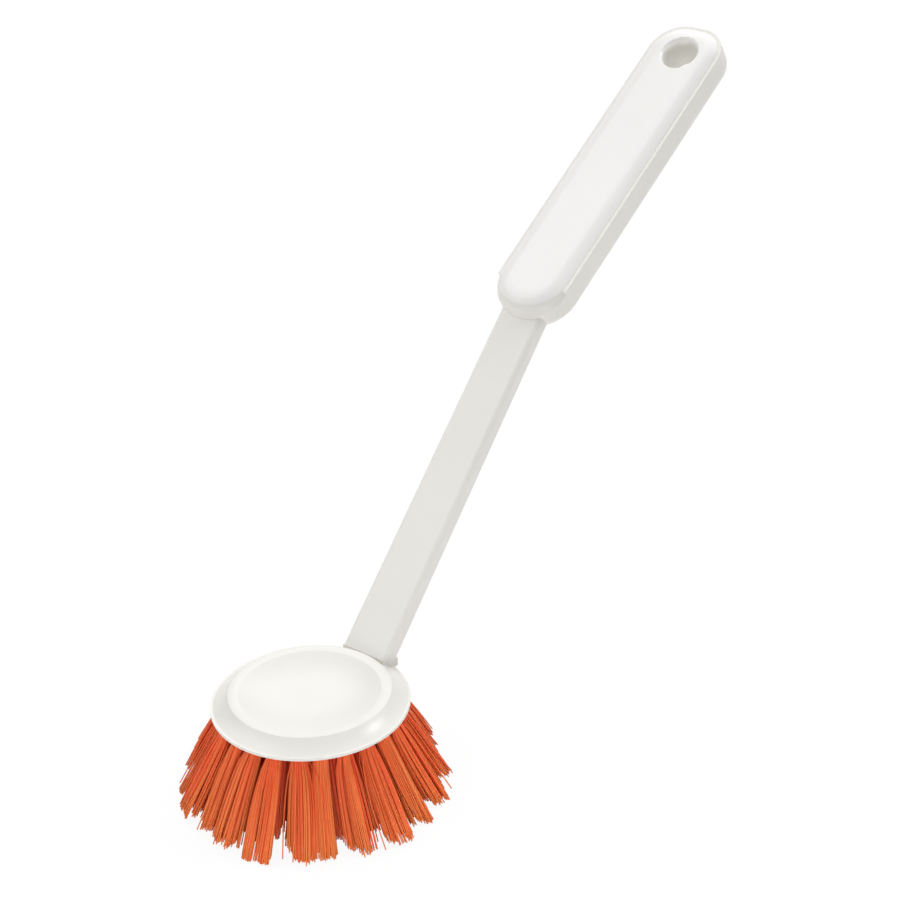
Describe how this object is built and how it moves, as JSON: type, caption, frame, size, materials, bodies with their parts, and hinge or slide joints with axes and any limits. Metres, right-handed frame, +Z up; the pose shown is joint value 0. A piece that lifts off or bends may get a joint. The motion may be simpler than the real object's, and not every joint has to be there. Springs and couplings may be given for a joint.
{
  "type": "dish brush",
  "caption": "Dish brush with a round head of splayed bristle tufts, a raked flat neck and a flat rounded grip with a hanging hole.",
  "frame": {"origin": "middle of the brushing face, where the tufts are trimmed flat", "axes": "+X from the head towards the grip, +Z up along the head's axis, out of the dished top"},
  "size_m": [0.2545, 0.085, 0.1821],
  "materials": {
    "body_plastic": "moulded, glossy warm white",
    "cover_plastic": "moulded, glossy warm white",
    "bristle": "orange nylon filament, cut ends",
    "anchor_wire": "flat drawn wire"
  },
  "bodies": {
    "root": {"brush_head": "body_plastic", "grip_tray": "body_plastic", "grip_cover": "cover_plastic", "anchors": "anchor_wire", "tuft_outer_01": "bristle", "tuft_outer_02": "bristle", "tuft_outer_03": "bristle", "tuft_outer_04": "bristle", "tuft_outer_05": "bristle", "tuft_outer_06": "bristle", "tuft_outer_07": "bristle", "tuft_outer_08": "bristle", "tuft_outer_09": "bristle", "tuft_outer_10": "bristle", "tuft_outer_11": "bristle", "tuft_outer_12": "bristle", "tuft_outer_13": "bristle", "tuft_outer_14": "bristle", "tuft_outer_15": "bristle", "tuft_outer_16": "bristle", "tuft_outer_17": "bristle", "tuft_outer_18": "bristle", "tuft_outer_19": "bristle", "tuft_outer_20": "bristle", "tuft_outer_21": "bristle", "tuft_outer_22": "bristle", "tuft_middle_01": "bristle", "tuft_middle_02": "bristle", "tuft_middle_03": "bristle", "tuft_middle_04": "bristle", "tuft_middle_05": "bristle", "tuft_middle_06": "bristle", "tuft_middle_07": "bristle", "tuft_middle_08": "bristle", "tuft_middle_09": "bristle", "tuft_middle_10": "bristle", "tuft_middle_11": "bristle", "tuft_middle_12": "bristle", "tuft_middle_13": "bristle", "tuft_middle_14": "bristle", "tuft_middle_15": "bristle", "tuft_middle_16": "bristle", "tuft_middle_17": "bristle", "tuft_middle_18": "bristle", "tuft_inner_01": "bristle", "tuft_inner_02": "bristle", "tuft_inner_03": "bristle", "tuft_inner_04": "bristle", "tuft_inner_05": "bristle", "tuft_inner_06": "bristle", "tuft_inner_07": "bristle", "tuft_inner_08": "bristle", "tuft_inner_09": "bristle", "tuft_centre": "bristle"}
  },
  "joints": []
}
